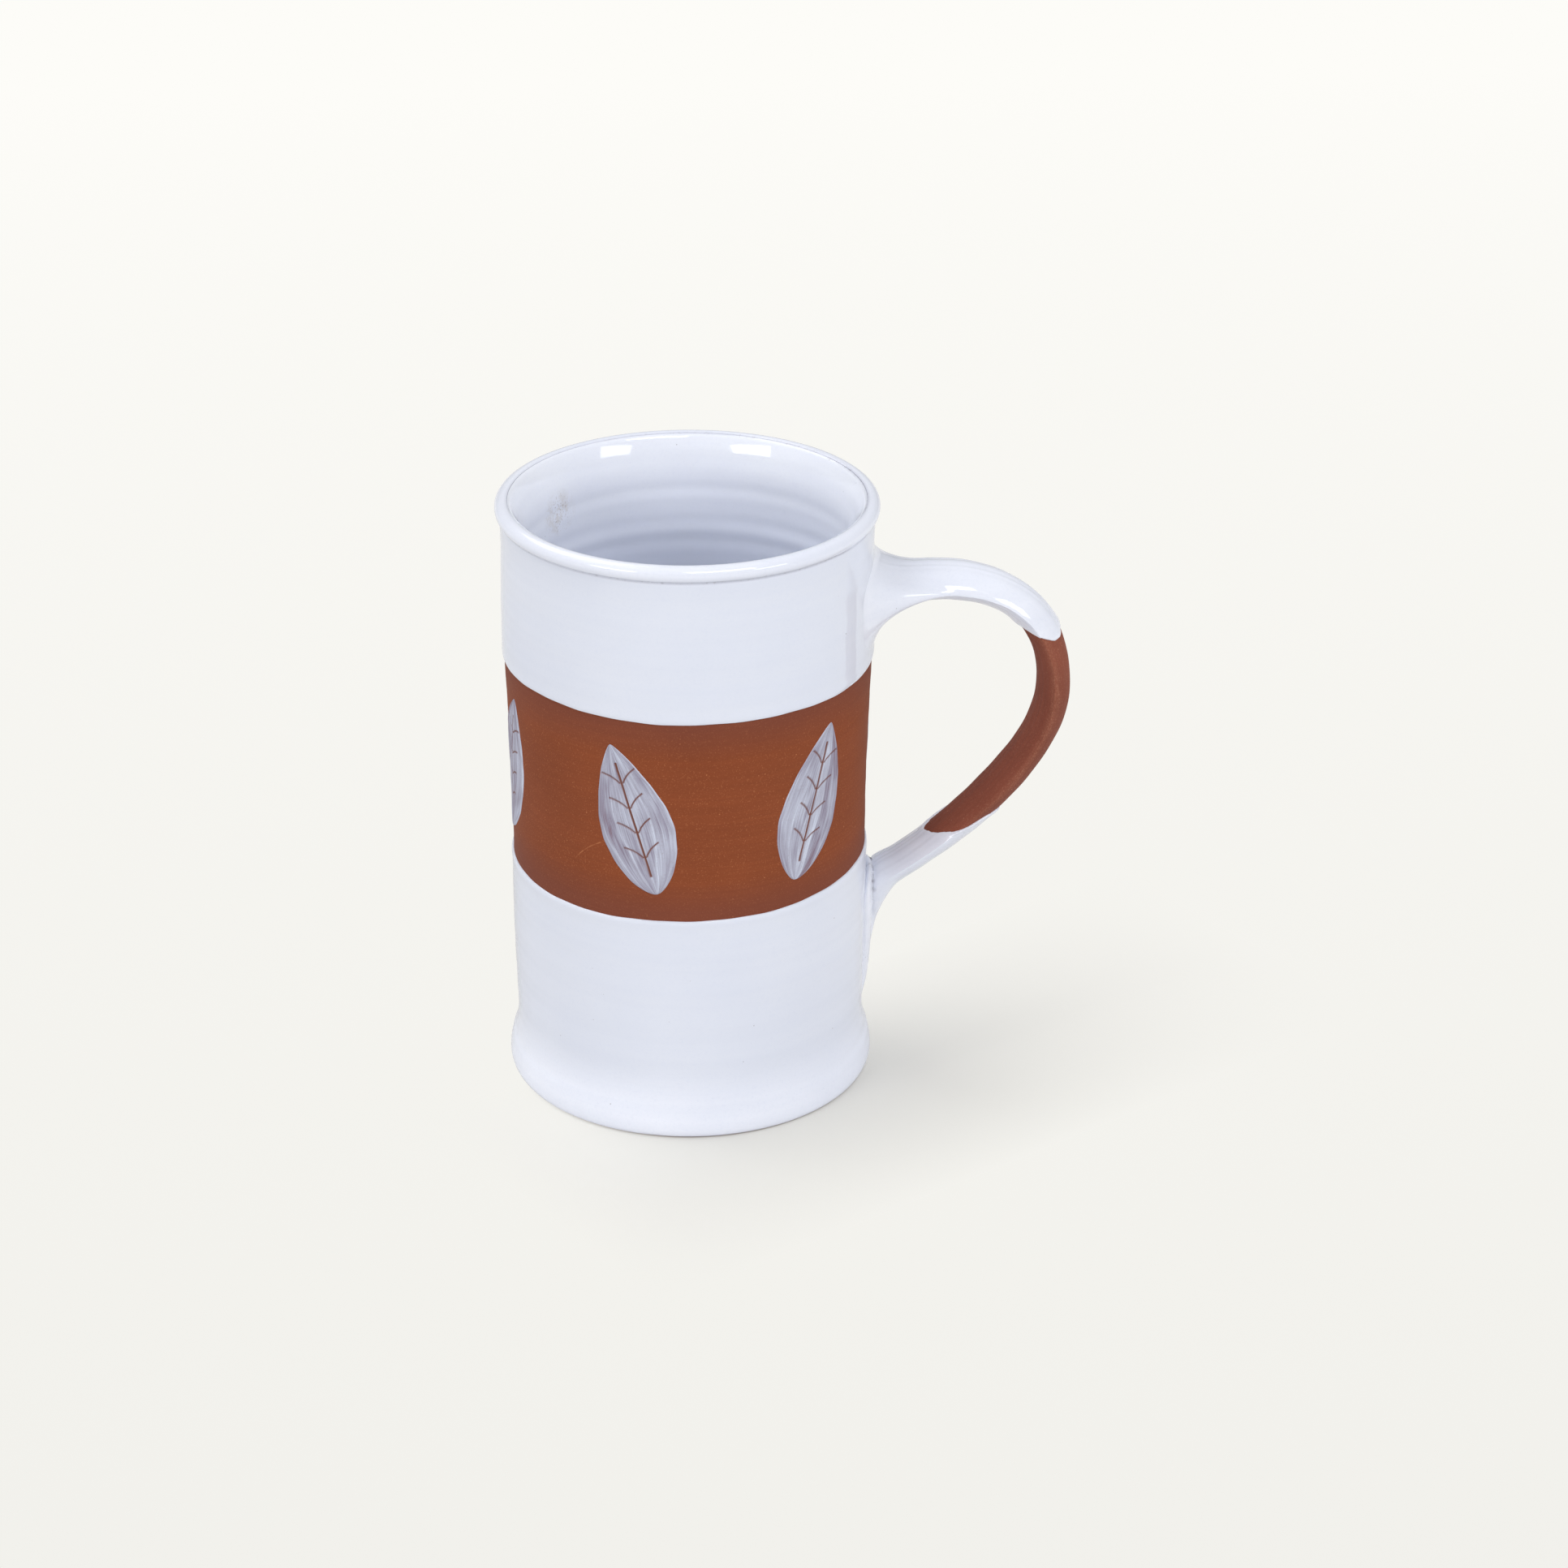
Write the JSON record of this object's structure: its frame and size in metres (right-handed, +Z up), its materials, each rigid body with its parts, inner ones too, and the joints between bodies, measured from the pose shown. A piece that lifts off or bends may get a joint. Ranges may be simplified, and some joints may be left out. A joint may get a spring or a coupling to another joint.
{
  "type": "coffee mug",
  "caption": "Tall thrown red clay mug with a pulled strap handle, pale glaze dipped over rim and foot, and a bare band with brushed slip leaves.",
  "frame": {"origin": "centre of the flat foot, on the axis of the cup", "axes": "+Z up along the cup's axis, +X towards the handle"},
  "size_m": [0.1278, 0.0842, 0.1391],
  "materials": {
    "red_clay": "matte",
    "handle_clay": "satin",
    "outer_glaze": "gloss",
    "inner_glaze": "gloss",
    "slip": "satin"
  },
  "bodies": {
    "root": {"cup_body": "red_clay", "handle": "handle_clay", "inner_glaze": "inner_glaze", "upper_glaze": "outer_glaze", "lower_glaze": "outer_glaze", "handle_upper_glaze": "outer_glaze", "handle_lower_glaze": "outer_glaze", "slip_leaf_1": "slip", "slip_leaf_2": "slip", "slip_leaf_3": "slip", "slip_leaf_4": "slip", "slip_leaf_5": "slip", "slip_leaf_6": "slip"}
  },
  "joints": []
}
